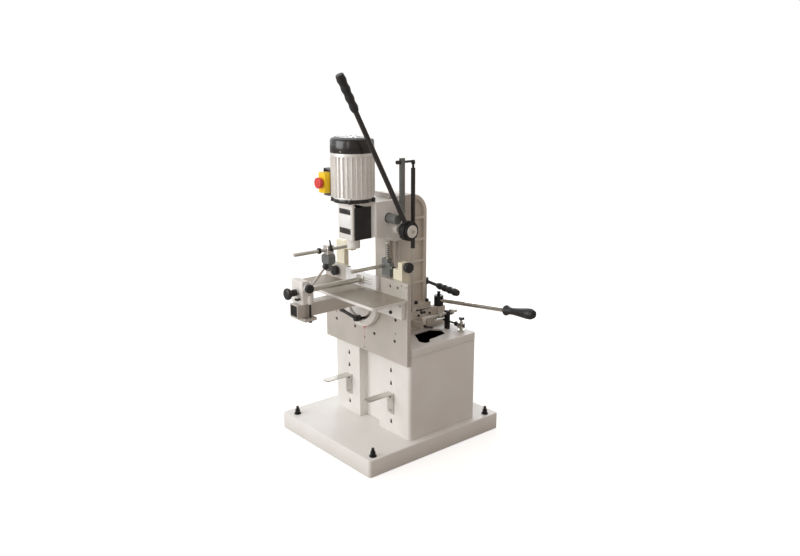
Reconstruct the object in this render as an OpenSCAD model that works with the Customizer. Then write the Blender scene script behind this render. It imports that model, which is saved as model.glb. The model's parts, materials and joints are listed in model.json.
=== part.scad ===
/* [Floor plinth] */
// Plinth size left to right
plinth_w = 618; // [560:2:680]
// Plinth size front to back
plinth_d = 716; // [660:2:760]
// Plinth height
plinth_h = 73; // [60:1:90]
// Sideways place of the plinth centre from the chisel plane
plinth_x = -11; // [-20:1:0]
// Plinth corner radius
plinth_r = 14; // [10:1:50]
// Plinth sheet thickness
plinth_t = 3; // [2:0.5:5]

/* [Cabinet] */
// Left face of the cabinet
cab_x0 = -233; // [-240:1:-220]
// Right face of the cabinet
cab_x1 = 265; // [250:1:268]
// Depth of the cabinet, front to back
cab_d = 370; // [350:1:380]
// Height of the cabinet shell above the plinth
cab_h = 353; // [330:1:370]
// Cabinet sheet thickness
cab_t = 3; // [2:0.5:5]
// Width of the front recess
recess_w = 130; // [120:1:150]
// Depth of the front recess
recess_d = 40; // [30:1:50]
// Height of the cabinet top casting
cap_h = 34; // [28:1:40]

/* [Fence and table] */
// Width of the fence plate
fence_w = 541; // [520:1:560]
// Thickness of the fence plate
fence_t = 18; // [14:1:18]
// Height of the fence plate below the table top
fence_drop = 274; // [250:1:290]
// Height of the fence ears above the table top
ear_h = 63; // [50:1:64]
// Width of the gap between the ears
gap_w = 217; // [206:1:225]
// Height of the table top above the floor
table_z = 672; // [668:1:676]
// Table depth, front to back
table_d = 168; // [140:1:175]
// Table plate thickness
table_t = 12; // [10:1:14]
// Height of the tilt axis above the floor
tilt_z = 620; // [615:1:625]
// Radius of the tilt disc
disc_r = 110; // [104:1:114]
// Radius of the tilt slot
slot_r = 77; // [72:1:82]

/* [Vice] */
// Side of the square vice beam
beam_s = 52; // [48:1:56]
// Reach of the vice beam in front of the fence plate
beam_reach = 342; // [338:1:360]
// Diameter of the vice rod
vice_rod_d = 22; // [18:1:24]
// Width of the vice jaw
jaw_w = 204; // [150:2:206]
// Height of the vice jaw
jaw_h = 58; // [50:1:60]

/* [Column] */
// Width of the column
col_w = 100; // [96:1:104]
// Height of the column above its foot
col_h = 487; // [470:1:500]
// Depth of the column, front to back
col_d = 178; // [170:1:185]
// Thickness of the dovetail way
way_t = 22; // [18:1:24]

/* [Head] */
// Width of the head body
head_w = 156; // [152:1:160]
// Height of the head body
head_h = 142; // [138:1:150]
// Width of the nose
nose_w = 95; // [90:1:100]
// Reach of the nose in front of the chisel axis
nose_reach = 42; // [40:1:50]
// Length of the chisel bushing below the nose
bushing_h = 38; // [30:1:44]
// Motor diameter over the fins
motor_d = 174; // [166:1:176]
// Length of the finned motor body
motor_h = 176; // [160:1:190]
// Bore of the chisel bushing
bushing_bore_d = 19.05; // [15:0.05:22]
// Outer diameter of the chisel bushing
bushing_d = 52; // [44:1:56]

/* [Feed] */
// Gear module of the three racks
gear_m = 2.5; // [2.5:0.5:2.5]
// Teeth on the head pinion
head_teeth = 16; // [16:2:16]
// Teeth on the slide pinions
slide_teeth = 24; // [24:2:24]
// Length of the feed lever from its axis
lever_len = 685; // [600:5:700]
// Diameter of the feed lever rod
lever_d = 20; // [16:1:20]

/* [Hidden] */

$fn = 48;
fit = 0.05;    // radial clearance of a running fit
slip = 0.3;    // gap between sliding faces
eps = 0.01;

// Heights of the stack
cab_z = plinth_h;
cab_top_z = cab_z + cab_h;
cap_z = cab_top_z + cap_h;
cab_y0 = -127;
cab_y1 = cab_y0 + cab_d;
recess_x = 4;
cab_w = cab_x1 - cab_x0;
cab_cx = (cab_x0 + cab_x1) / 2;

// Fence plate
fence_y1 = cab_y0;
fence_y0 = fence_y1 - fence_t;
fence_x = 0.5;
fence_z0 = table_z - fence_drop;
fence_z1 = table_z + ear_h;
gap_x = -3.5;
gap_z = table_z - 4;
gap_r = 10;

// Chisel axis
chisel_y = -195;

// Carriage heights and travel
bed_h = 18;
bed_z = cap_z + bed_h;
saddle_h = 34;
saddle_z = bed_z + saddle_h;
slide_h = 36;
slide_z = saddle_z + slide_h;
pitch_r = gear_m * slide_teeth / 2;
shaft_y = 190;
y_shaft_x = 0;
x_shaft_x = 88;
pinion_t = 12;
rack_t = 14;
tooth = gear_m * PI;

// Column, in its own frame
col_y0 = -26;
col_y1 = col_y0 + col_d;
col_z1 = slide_z + col_h;
way_y0 = col_y0 - way_t;
way_z0 = slide_z + 52;
way_z1 = col_z1 + 14;
way_w = 92;
way_root = 68;
gib_t = 5;

// Head
head_y0 = -144;
head_y1 = -2;
head_z1 = 1028;
head_z0 = head_z1 - head_h;
nose_y0 = chisel_y - nose_reach;
nose_z0 = head_z0 - 6;
nose_t = 12;
nose_floor = 6;
nose_open = [nose_y0 + 14, head_y0 - 10, nose_z0 + nose_floor, nose_z0 + 126];

// Head pinion and feed lever
head_pitch_r = gear_m * head_teeth / 2;
pivot = [152, -36, 912];
head_rack_y = pivot[1] + head_pitch_r;
rack_x0 = col_w / 2;
rack_x1 = rack_x0 + 16;
lobe_r = 54;
hub_r = 38;
hub_x0 = pivot[0] - 24;
hub_x1 = pivot[0] + 20;
lever_tilt = 28.4;
stop_boss = [-78, 959];
stop_boss_d = 38;

// Hold-downs
post_x = 118;
post_y = -117.4;
post_d = 12;
post_top = 874;
tee = [92, 142, 737, 806];
tee_travel = 30;
tee_y0 = fence_y1 + 0.4;
tee_y1 = tee_y0 + 24;
spring_wire = 3;
spring_turns = 7;
left_rod_x = -121;
left_rod_z = 819;
right_rod_x = 101;
right_rod_z = 775;
rod_d = 15;

star = [-187, 706];

// Vice, in the plane of the chisel
beam_y0 = fence_y0 - beam_reach;
beam_z1 = table_z - table_t;
beam_z0 = beam_z1 - beam_s;
vice_z = 706;
block_y0 = beam_y0 + 18;
block_d = 54;
block_y1 = block_y0 + block_d;
block_w = 84;
jaw_y1 = fence_y0 - 2;
jaw_t = 17;
jaw_z = 707.5;
web_t = 19;
knob_gap = 6;

// ---------------------------------------------------------------- shared shapes

// Flat rectangle with round corners, centred
module round_rect(w, d, r) {
    square([w - 2 * r, d], center = true);
    square([w, d - 2 * r], center = true);
    for (sx = [-1, 1], sy = [-1, 1])
        translate([sx * (w / 2 - r), sy * (d / 2 - r)]) circle(r);
}

// Upright block with round vertical corners, from one corner to the other
module round_block(a, b, r) {
    translate([(a[0] + b[0]) / 2, (a[1] + b[1]) / 2, a[2]])
        linear_extrude(b[2] - a[2]) round_rect(b[0] - a[0], b[1] - a[1], r);
}

// Plain block from one corner to the other
module block(a, b) { translate(a) cube(b - a); }

// Round bars along each axis, from a point
module bar_x(p, d, l) { translate(p) rotate([0, 90, 0]) cylinder(d = d, h = l); }
module bar_y(p, d, l) { translate(p) rotate([-90, 0, 0]) cylinder(d = d, h = l); }
module bar_z(p, d, l) { translate(p) cylinder(d = d, h = l); }

// Half the width angle of an involute tooth at a radius, in degrees
function inv(a) = tan(a) - a * PI / 180;
function half_angle(r, n, rp) =
    let (rb = rp * cos(20), a = acos(min(1, rb / max(r, rb))))
    90 / n * 0.94 + (inv(20) - inv(a)) * 180 / PI;

// Spur gear outline with a tooth on +X, backlash in the tooth width
module gear_outline(n) {
    rp = gear_m * n / 2;
    radii = [rp - 1.25 * gear_m, rp - 0.7 * gear_m, rp, rp + 0.5 * gear_m, rp + 0.95 * gear_m];
    polygon([for (i = [0 : n - 1]) each concat(
        [for (r = radii) let (a = 360 * i / n - half_angle(r, n, rp)) r * [cos(a), sin(a)]],
        [for (k = [4 : -1 : 0]) let (r = radii[k], a = 360 * i / n + half_angle(r, n, rp))
            r * [cos(a), sin(a)]])]);
}

// Rack outline along X with its teeth on +Y, a space at X = 0, pitch line at Y = 0
module rack_outline(x0, x1, back) {
    n0 = ceil(x0 / tooth + 0.5);
    n1 = floor(x1 / tooth - 0.5);
    up = 0.85 * gear_m;
    dn = 1.2 * gear_m;
    half = tooth / 4 * 0.94;
    s = tan(20);
    polygon(concat([[x0, -back], [x0, -dn]],
        [for (i = [n0 : n1 - 1]) each let (c = (i + 0.5) * tooth)
            [[c - half - dn * s, -dn], [c - half + up * s, up],
             [c + half - up * s, up], [c + half + dn * s, -dn]]],
        [[x1, -dn], [x1, -back]]));
}

// Hand grip on an axis: four finger swells, flat end
module finger_grip(l, d) {
    n = 24;
    rotate_extrude() polygon(concat([[0, 0]],
        [for (i = [0 : n]) let (t = i / n)
            [d / 2 * (0.86 + 0.14 * t) + 1.3 * sin(360 * 4 * t - 90) + (i == 0 ? -1 : 0), l * t]],
        [[d / 2 - 3, l + 3], [0, l + 3]]));
}

// Socket head screw, axis up, seat at z = 0
module cap_screw(d, h) {
    difference() {
        cylinder(d = d, h = h);
        translate([0, 0, h - 0.5 * h]) cylinder(d = 0.5 * d, h = h, $fn = 6);
    }
}

// Round lobed knob with its axis up, seat at z = 0
module lobed_knob(d, h, n) {
    difference() {
        cylinder(d = d, h = h);
        for (i = [0 : n - 1]) rotate(360 * i / n)
            translate([d / 2 + d / 16, 0, -1]) cylinder(d = d / 4.4, h = h + 2);
    }
}

// ---------------------------------------------------------------- stand

stud_spots = [for (x = [-260, 268], y = [-318, 305]) [x, y]];
stud_d = 12;

module plinth() {
    color("whitesmoke") difference() {
        translate([plinth_x, 0, 0]) linear_extrude(plinth_h) round_rect(plinth_w, plinth_d, plinth_r);
        translate([plinth_x, 0, plinth_t]) linear_extrude(plinth_h - 2 * plinth_t)
            round_rect(plinth_w - 2 * plinth_t, plinth_d - 2 * plinth_t, plinth_r - plinth_t);
    }
}

// Threaded stud with a washer, a nut and a lock nut
module anchor_bolts() {
    color("silver") for (p = stud_spots) translate([p[0], p[1], plinth_h]) {
        cylinder(d = stud_d, h = 34);
        cylinder(d = 30, h = 3);
        translate([0, 0, 3 - eps]) cylinder(d = 22, h = 11, $fn = 6);
        translate([0, 0, 14 - eps]) rotate(20) cylinder(d = 22, h = 6, $fn = 6);
    }
}

// Outline of the cabinet, with the recess in its front
module cabinet_outline(t) {
    difference() {
        translate([cab_cx, (cab_y0 + cab_y1) / 2]) round_rect(cab_w - 2 * t, cab_d - 2 * t, 16 - t);
        translate([recess_x - recess_w / 2 - t, cab_y0 - 1])
            square([recess_w + 2 * t, recess_d + 1 + t]);
    }
}

// Keyholes down both pillars, for the shelf brackets
key_x = [-134, 148];
key_z = [for (i = [0 : 4]) 120 + 56 * i];
module key_slot(x, z) {
    bar_y([x, cab_y0 - 1, z], 12, cab_t + 2);
    block([x - 3, cab_y0 - 1, z], [x + 3, cab_y0 + cab_t + 1, z + 13]);
}

module cabinet() {
    color("whitesmoke") difference() {
        translate([0, 0, cab_z]) linear_extrude(cab_h) cabinet_outline(0);
        translate([0, 0, cab_z + cab_t]) linear_extrude(cab_h) cabinet_outline(cab_t);
        for (x = key_x, z = key_z) key_slot(x, z);
    }
}

chip_hole = [[110, 31], [200, -20], [228, -14], [232, 6], [206, 30], [193, 134], [142, 156], [104, 125]];
module cabinet_top() {
    color("whitesmoke") difference() {
        translate([0, 0, cab_top_z]) linear_extrude(cap_h) translate([cab_cx, (cab_y0 + cab_y1) / 2])
            round_rect(cab_w + 3, cab_d, 17);
        translate([0, 0, cab_top_z - 1]) linear_extrude(cap_h - 9)
            translate([cab_cx, (cab_y0 + cab_y1) / 2]) round_rect(cab_w - 20, cab_d - 20, 10);
        translate([0, 0, cab_top_z]) linear_extrude(cap_h + 1) polygon(chip_hole);
    }
}

fence_holes = [[-196, 488, 14], [-66, 486, 14], [64, 486, 14], [198, 575, 14], [193, 486, 14],
    [167, 708, 12], [212, 709, 12], [-197, 519, 7], [198, 519, 7], [-1, 454, 7], [-2, 410, 7],
    [236, 721, 6], [263, 720, 6]];
module fence_plate() {
    color("darkgray") difference() {
        block([fence_x - fence_w / 2, fence_y0, fence_z0], [fence_x + fence_w / 2, fence_y1, fence_z1]);
        translate([gap_x, fence_y1 + 1, gap_z + 100]) rotate([90, 0, 0])
            linear_extrude(fence_t + 2) round_rect(gap_w, 200, gap_r);
        for (h = fence_holes) bar_y([h[0], fence_y0 - 1, h[1]], h[2], fence_t + 2);
        bar_y([star[0], fence_y0 - 1, star[1]], 10 + 2 * fit, fence_t + 2);
        bar_y([0, fence_y0 - 1, tilt_z - slot_r], 12 + 2 * fit, fence_t + 2);
        bar_y([0, fence_y0 - 1, tilt_z], 24 + 2 * fit, fence_t + 2);
    }
}

// Shelf bracket: a leg on the pillar, a plate reaching forward, one bolt in a keyhole
bracket_w = 38;
bracket_t = 5;
bracket_reach = 130;
module shelf_bracket(x) {
    top = key_z[2] + 18;
    difference() {
        union() {
            block([x - bracket_w / 2, cab_y0 - bracket_t, key_z[1] - 16], [x + bracket_w / 2, cab_y0, top]);
            block([x - bracket_w / 2, cab_y0 - bracket_reach, top - bracket_t],
                [x + bracket_w / 2, cab_y0, top]);
        }
        bar_y([x, cab_y0 - bracket_t - 1, key_z[2]], 10, bracket_t + 2);
        for (sx = [-1, 1]) translate([x + sx * bracket_w / 2, cab_y0 - bracket_reach, top - bracket_t - 1])
            rotate(45) cube([10, 10, 3 * bracket_t], center = true);
    }
    translate([x, cab_y0 - bracket_t + eps, key_z[1]]) rotate([90, 0, 0]) {
        cylinder(d = 16, h = 2);
        cylinder(d = 13, h = 8, $fn = 6);
        translate([0, 0, -10]) cylinder(d = 8, h = 12);
    }
}
module angle_brackets() { color("gainsboro") for (x = key_x) shelf_bracket(x); }

module bed() {
    color("gray") difference() {
        block([-80, -96, cap_z], [80, cab_y1 - 2, bed_z]);
        block([-46, -97, cap_z + 8], [46, 118, bed_z + 1]);
    }
}

module y_rack() {
    color("dimgray") translate([y_shaft_x - pitch_r, shaft_y, bed_z])
        linear_extrude(rack_t) rotate(-90) rack_outline(-48, 26, 14);
}

post_spot = [214, 204];
module x_stop_post() {
    color("silver") {
        difference() {
            union() {
                bar_z([post_spot[0], post_spot[1], cap_z], 30, 6);
                bar_z([post_spot[0], post_spot[1], cap_z], 14, 44);
                block([post_spot[0] - 14, post_spot[1] - 11, 474],
                    [post_spot[0] + 11, post_spot[1] + 11, 496]);
            }
            bar_x([post_spot[0] - 20, post_spot[1], 485], 8 + 2 * fit, 40);
        }
    }
}

module x_stop_rod() {
    color("dimgray") {
        bar_x([104, post_spot[1], 485], 8, 128);
        bar_x([post_spot[0] - 34, post_spot[1], 485], 20, 14);
    }
}

y_rod_x = 150;
y_rod_z = 529;
module y_stop_block() {
    color("dimgray") difference() {
        block([y_rod_x - 10, 176, cap_z], [y_rod_x + 10, 190, y_rod_z + 11]);
        bar_y([y_rod_x, 170, y_rod_z], 12 + 2 * fit, 30);
    }
}

module post_bracket() {
    color("dimgray") difference() {
        block([post_x - 16, fence_y1, 640], [post_x + 16, post_y + 12, 668]);
        bar_z([post_x, post_y, 630], post_d + 2 * fit, 60);
    }
}

module holddown_post() {
    color("gainsboro") {
        bar_z([post_x, post_y, 632], post_d, post_top - 632 - 8);
        bar_z([post_x, post_y, post_top - 8], 18, 8);
        bar_z([post_x, post_y, tee[2] - tee_travel - slip - 14], 18, 14);
    }
}

module tilt_stud() {
    color("dimgray") {
        bar_y([0, fence_y0 - web_t - 12, tilt_z - slot_r], 12, fence_t + web_t + 20);
        bar_y([0, fence_y1, tilt_z - slot_r], 22, 10);
    }
}

// ---------------------------------------------------------------- tilting table

table_x0 = -268;
table_x1 = 266;
table_y1 = fence_y0 - slip;
table_y0 = fence_y0 - table_d;
module slot_arc(w, a) {
    rotate([90, 0, 0]) linear_extrude(80) difference() {
        circle(slot_r + w / 2, $fn = 96);
        circle(slot_r - w / 2, $fn = 96);
        translate([-200, 0]) square([400, 200]);
        rotate(a) translate([-200, 0]) square([400, 300]);
        rotate(-a) translate([-200, 0]) square([400, 300]);
    }
}
module tilt_table() {
    color("gray") difference() {
        union() {
            translate([0, 0, table_z - table_t]) linear_extrude(table_t) difference() {
                translate([(table_x0 + table_x1) / 2, (table_y0 + table_y1) / 2])
                    square([table_x1 - table_x0, table_y1 - table_y0], center = true);
                translate([table_x1 - 14, table_y0 + 14]) rotate(-90) difference() {
                    square(20);
                    circle(14);
                }
            }
            block([-170, table_y1 - web_t, 594], [259, table_y1, table_z - table_t + 1]);
            intersection() {
                translate([0, table_y1, tilt_z]) rotate([90, 0, 0])
                    cylinder(r = disc_r, h = web_t + 5, $fn = 96);
                block([-200, -200, 400], [200, -100, table_z - table_t + 1]);
            }
            translate([0, table_y1, tilt_z]) rotate([-90, 0, 0]) cylinder(d = 24, h = fence_t - 1);
        }
        translate([0, table_y1 + 20, tilt_z]) slot_arc(13, 24);
        for (p = [[83, -286], [78, -206], [204, -285], [209, -210]])
            bar_z([p[0], p[1], table_z - 40], 6, 60);
    }
}

module tilt_lever() {
    hub_y = table_y1 - web_t - 5 - 17;
    color("black") difference() {
        union() {
            bar_y([0, hub_y, tilt_z - slot_r], 26, 16.7);
            translate([0, hub_y - 3, tilt_z - slot_r]) rotate([90, 0, 0]) cylinder(d = 20, h = 8);
            bar_y([0, hub_y - 4, tilt_z - slot_r], 22, 5);
            translate([0, hub_y, tilt_z - slot_r]) rotate([0, -72, 0]) rotate([14, 0, 0]) {
                translate([0, 0, 6]) cylinder(d1 = 15, d2 = 13, h = 56);
                translate([0, 0, 61]) cylinder(d1 = 13, d2 = 18, h = 24);
            }
        }
        bar_y([0, hub_y + 4, tilt_z - slot_r], 12 + 2 * fit, 60);
    }
}

module vice_beam() {
    color("dimgray") {
        difference() {
            block([-beam_s / 2, beam_y0, beam_z0], [beam_s / 2, table_y1 - web_t - 5, beam_z1]);
            block([-beam_s / 2 + 4, beam_y0 - 1, beam_z0 + 4],
                [beam_s / 2 - 4, beam_y0 + 4, beam_z1 - 4]);
            block([-beam_s / 2 + 4, beam_y0 + 8, beam_z0 + 4],
                [beam_s / 2 - 4, table_y1 - web_t - 20, beam_z1 - 4]);
        }
    }
}

// Vice casting on the beam
module vice_block() {
    top = vice_z + 46;
    color("whitesmoke") difference() {
        union() {
            round_block([-block_w / 2, block_y0, beam_z1 + slip], [block_w / 2 - 6, block_y1, top - 10], 6);
            round_block([-block_w / 2, block_y0, beam_z1 + slip], [block_w / 2 - 6, block_y0 + 34, top], 6);
            bar_z([block_w / 2 - 4, block_y1 - 22, beam_z1 + slip], 18, 34);
            bar_z([-block_w / 2 - 2, block_y1 - 22, beam_z1 + slip], 18, 34);
            bar_x([block_w / 2 - 7, block_y0 + 22, vice_z + 20], 30, 9);
        }
        bar_y([0, block_y0 - 1, vice_z], vice_rod_d + 2 * fit, block_d + 2);
        bar_x([0, block_y0 + 22, vice_z + 20], 12 + 2 * fit, 60);
    }
}

module vice_plate() {
    color("gainsboro") {
        block([-block_w / 2 - 8, block_y0, beam_z0 - slip - 12],
            [block_w / 2 + 8, block_y1, beam_z0 - slip]);
        for (x = [-block_w / 2 - 2, block_w / 2 - 4]) {
            bar_z([x, block_y1 - 22, beam_z0 - slip], 9, beam_s + 2 * slip);
            bar_z([x, block_y1 - 22, beam_z0 - slip - 20], 15, 8);
        }
    }
}

module vice_rod() {
    color("dimgray") {
        bar_y([0, block_y0 - knob_gap, vice_z], vice_rod_d, jaw_y1 - jaw_t - 6 - block_y0 + knob_gap);
        bar_y([0, jaw_y1 - jaw_t - 6, vice_z], 38, 6);
    }
}

module vice_jaw() {
    color("white") translate([0, jaw_y1, jaw_z]) rotate([90, 0, 0]) linear_extrude(jaw_t)
        round_rect(jaw_w, jaw_h, 7);
}

module vice_knob() {
    y = block_y0 - knob_gap;
    color("black") {
        translate([0, y, vice_z]) rotate([90, 0, 0]) rotate_extrude()
            polygon([[0, 0], [13, 0], [13, 14], [11, 22], [21, 30], [23, 36], [22, 42], [16, 46], [0, 47]]);
    }
}

cam_tilt = 38;
module cam_lever() {
    p = [block_w / 2 + 2 + slip, block_y0 + 22, vice_z + 20];
    color("black") {
        bar_x([p[0] - 20, p[1], p[2]], 12, 21);
        bar_x(p, 34, 14);
        translate([p[0] + 7, p[1], p[2]]) rotate([-cam_tilt - 8, 0, 0]) {
            translate([0, 0, 14]) cylinder(d = 9, h = 86);
            translate([0, 0, 108]) sphere(d = 26);
        }
    }
}

// ---------------------------------------------------------------- left hold-down

module left_support() {
    color("ivory") difference() {
        union() {
            block([-214, fence_y1 + slip, 690], [-158, fence_y1 + 24, 832]);
            block([-160, fence_y1 + slip, 800], [-106, fence_y1 + 24, 838]);
        }
        bar_y([left_rod_x, fence_y1 - 10, left_rod_z], rod_d + 2 * fit, 60);
        bar_y([star[0], fence_y1 - 1, star[1]], 10 + 2 * fit, 20);
    }
}

module left_rod() {
    color("silver") {
        bar_y([left_rod_x, -398, left_rod_z], rod_d, 398 + fence_y1 + 28);
        bar_y([left_rod_x, -284, left_rod_z], 24, 9);
    }
}

foot_y = -252;
module left_foot() {
    color("dimgray") difference() {
        union() {
            round_block([left_rod_x - 16, foot_y + 3, 800], [left_rod_x + 16, foot_y + 36, 838], 4);
            translate([left_rod_x, foot_y + 36, 0]) rotate([90, 0, 0]) linear_extrude(36)
                polygon([[-25, 792], [-18, 800], [18, 800], [25, 792],
                    [25, 768], [14, 756], [-14, 756], [-25, 768]]);
            block([left_rod_x - 13, foot_y + 8, 730], [left_rod_x + 13, foot_y + 26, 757]);
        }
        bar_y([left_rod_x, foot_y - 10, left_rod_z], rod_d + 2 * fit, 60);
    }
}

module left_lock() {
    color("black") translate([left_rod_x + 16 + slip, foot_y + 20, left_rod_z + 2]) {
        rotate([0, 90, 0]) cylinder(d = 13, h = 8);
        translate([4, 0, 0]) rotate([12, 0, 0]) cylinder(d1 = 8, d2 = 6, h = 42);
    }
}

module star_knob() {
    color("black") translate([star[0], fence_y0 - slip, star[1]]) rotate([90, 0, 0]) {
        cylinder(d = 20, h = 6);
        translate([0, 0, 5]) lobed_knob(41, 15, 6);
        translate([0, 0, -slip - fence_t - 14]) cylinder(d = 10, h = fence_t + 16);
    }
}

// ---------------------------------------------------------------- right hold-down

module tee_block() {
    color("dimgray") difference() {
        union() {
            block([tee[0], tee_y0, tee[2]], [tee[1], tee_y1, tee[3]]);
            bar_x([tee[1] - 1, tee_y0 + 12, right_rod_z - 4], 18, 9);
        }
        bar_z([post_x, post_y, tee[2] - 1], post_d + 2 * fit, 80);
        bar_y([right_rod_x, tee_y0 - 1, right_rod_z], rod_d + 2 * fit, 13);
        block([tee[1] - 16, tee_y0 - 1, tee[3] - 16], [tee[1] + 1, tee_y1 + 1, tee[3] + 1]);
    }
}

module right_rod() {
    color("silver") bar_y([right_rod_x, -284, right_rod_z], rod_d, 284 + tee_y0 + 11.5);
}

module tee_lock() {
    color("black") bar_x([tee[1] + 8 + slip, tee_y0 + 12, right_rod_z - 4], 15, 11);
}

// Open coil: one tube, eight rings a turn, six sides
spring_z0 = tee[3] + spring_wire / 2 + slip;
spring_h = post_top - 8 - slip - spring_wire / 2 - spring_z0;
coil_r = post_d / 2 + spring_wire / 2 + 0.6;
function coil(t) = [coil_r * cos(360 * t), coil_r * sin(360 * t), spring_h / spring_turns * t];
steps = 8 * spring_turns;
coil_points = [for (i = [0 : steps], k = [0 : 5])
    let (t = i / 8, a = 60 * k, c = coil(t), u = [cos(360 * t), sin(360 * t), 0])
    c + spring_wire / 2 * (u * cos(a) + [0, 0, 1] * sin(a))];
coil_faces = concat([[for (k = [0 : 5]) k]], [[for (k = [5 : -1 : 0]) steps * 6 + k]],
    [for (i = [0 : steps - 1], k = [0 : 5]) each
        [[i * 6 + k, i * 6 + 6 + k, i * 6 + (k + 1) % 6],
         [i * 6 + (k + 1) % 6, i * 6 + 6 + k, i * 6 + 6 + (k + 1) % 6]]]);
echo(least_spring_gap = spring_h / spring_turns - spring_wire);

module holddown_spring() {
    color("silver") translate([post_x, post_y, spring_z0]) polyhedron(coil_points, coil_faces);
}

support_x = [163, 217];
side_knob_z = 788;
side_knob_y = -106;
module right_support() {
    color("ivory") difference() {
        union() {
            block([support_x[0], fence_y1 + slip, 700], [support_x[1], -91, 776]);
            block([support_x[1] - 25, fence_y1 + slip, 770], [support_x[1], -91, 806]);
        }
        bar_x([support_x[1] - 16, side_knob_y, side_knob_z], 10 + 2 * fit, 20);
    }
}

module side_knob() {
    color("black") {
        bar_x([support_x[1] - 14, side_knob_y, side_knob_z], 10, 24);
        translate([support_x[1] + slip, side_knob_y, side_knob_z]) rotate([0, 90, 0]) {
            cylinder(d = 22, h = 8);
            translate([0, 0, 7]) lobed_knob(41, 16, 8);
        }
    }
}

// ---------------------------------------------------------------- carriage

module saddle() {
    z0 = bed_z + slip;
    z1 = saddle_z;
    color("gray") difference() {
        union() {
            block([-85, -88, z0], [85, 118, z1]);
            block([-14, 117, bed_z + 17], [14, shaft_y + 16, z1]);
            block([30, 100, z0], [114, shaft_y - pitch_r - 13, z1]);
            block([84, 36, z0 + 8], [y_rod_x + 1, 50, z1]);
            block([y_rod_x - 12, 36, z1 - 8], [y_rod_x + 12, 50, y_rod_z]);
            bar_y([y_rod_x, 32, y_rod_z], 27, 20);
        }
        bar_y([y_rod_x, 30, y_rod_z], 12 + 2 * fit, 40);
        bar_z([y_shaft_x, shaft_y, bed_z], 16 + 2 * fit, 60);
    }
}

module x_rack() {
    color("dimgray") translate([x_shaft_x, shaft_y - pitch_r, saddle_z - rack_t - slip])
        linear_extrude(rack_t) rack_outline(-40, 26, 12.7);
}

module y_stop_rod() {
    color("silver") {
        bar_y([y_rod_x, 34, y_rod_z], 12, 201);
    }
    color("black") {
        bar_y([y_rod_x, 128, y_rod_z], 24, 12.5);
        bar_y([y_rod_x, 201, y_rod_z], 24, 12);
    }
}

module y_lever() {
    color("black") {
        translate([y_shaft_x, shaft_y, bed_z + 2]) linear_extrude(pinion_t)
            rotate(180) gear_outline(slide_teeth);
        bar_z([y_shaft_x, shaft_y, bed_z + 2 + pinion_t - eps], 16, 150);
        bar_z([y_shaft_x, shaft_y, 626], 30, 28);
        translate([y_shaft_x, shaft_y, 640]) rotate([0, 94, 0]) {
            cylinder(d = 14, h = 84);
            translate([0, 0, 80]) finger_grip(122, 30);
        }
    }
}

slide_x1 = 97;
module cross_slide() {
    z0 = saddle_z + slip;
    color("gainsboro") difference() {
        union() {
            block([-75, -56, z0], [slide_x1, 170, slide_z]);
            block([66, 168, z0], [108, shaft_y + 20, slide_z]);
            block([gas[0] - 11, 34, slide_z - 1], [gas[0] + 11, 54, slide_z + 16]);
        }
        bar_z([x_shaft_x, shaft_y, z0 - 10], 16 + 2 * fit, 80);
        bar_z([gas[0], gas[1], slide_z + 2], 8 + 2 * fit, 40);
    }
}

module column_side() {
    translate([col_y0, 0]) square([col_d, col_h - 80]);
    translate([col_y0, 0]) square([col_d - 80, col_h]);
    translate([col_y1 - 80, col_h - 80]) circle(80, $fn = 96);
}
module column() {
    rib = 10;
    color("lightgray") translate([0, 0, slide_z]) {
        difference() {
            rotate([90, 0, 90]) translate([0, 0, -col_w / 2]) linear_extrude(col_w) column_side();
            for (s = [-1, 1]) for (i = [0 : 4]) {
                z = 22 + i * 92;
                translate([s > 0 ? col_w / 2 - 16 : -col_w / 2 - 1, 0, 0])
                    rotate([90, 0, 90]) linear_extrude(17) intersection() {
                        translate([64, z]) square([col_y1 - 17 - 64, 92 - rib]);
                        union() {
                            translate([0, 0]) square([col_y1 - 17, col_h - 80]);
                            translate([col_y1 - 80, col_h - 80]) circle(63, $fn = 96);
                        }
                    }
            }
        }
        block([-66, -48, 0], [66, col_y0 + 1, 18]);
        block([-66, col_y0, 0], [-col_w / 2 + 1, 165, 18]);
        block([col_w / 2 - 1, col_y0, 0], [66, 165, 18]);
        block([-66, col_y1 - 1, 0], [66, 165, 18]);
    }
}

module column_way() {
    color("dimgray") translate([0, col_y0, way_z0]) linear_extrude(way_z1 - way_z0)
        polygon([[-way_root / 2, 0], [-way_w / 2, -way_t], [way_w / 2, -way_t], [way_root / 2, 0]]);
}

module head_rack() {
    color("dimgray") translate([rack_x0, head_rack_y, pivot[2]]) rotate([90, 0, 90]) linear_extrude(16)
        rotate(90) rack_outline(-136, 40, 16);
}

module column_bolts() {
    color("black") for (p = [[-58, -34], [58, -34], [-58, 88], [58, 88], [-58, 150], [58, 150]])
        translate([p[0], p[1], slide_z + 18]) cap_screw(14, 12);
}

// Gas spring: its place behind the bar, the height of its upper pin, its length
gas = [head_w / 2 + 7, 44];
gas_pin_z = head_z1 + 148;
gas_pin_d = 10;
gas_body_z = gas_pin_z - 356;
gas_body_h = 330;
gas_body_d = 18;
bar_front = -24;
bar_back = -4;
module gas_rod() {
    color("silver") bar_z([gas[0], gas[1], slide_z + 2.3], 8, gas_pin_z - 140 - slide_z);
}

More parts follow.
